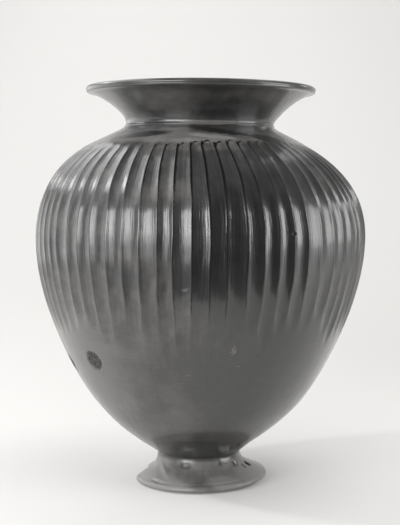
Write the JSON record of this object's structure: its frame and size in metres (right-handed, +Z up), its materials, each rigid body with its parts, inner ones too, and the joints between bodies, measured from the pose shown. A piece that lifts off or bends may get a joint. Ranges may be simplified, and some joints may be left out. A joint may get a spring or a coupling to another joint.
{
  "type": "pithos",
  "caption": "Large open-mouthed clay storage jar with a wide flared rim, upright flutes round its swelling body and a small spreading foot.",
  "frame": {"origin": "on the floor below the middle of the jar", "axes": "+Z up along the jar's axis, -Y towards the front, +X to the right seen from the front"},
  "size_m": [0.6277, 0.6278, 0.7525],
  "materials": {
    "burnished_clay": "satin"
  },
  "bodies": {
    "root": {"pithos": "burnished_clay"}
  },
  "joints": []
}
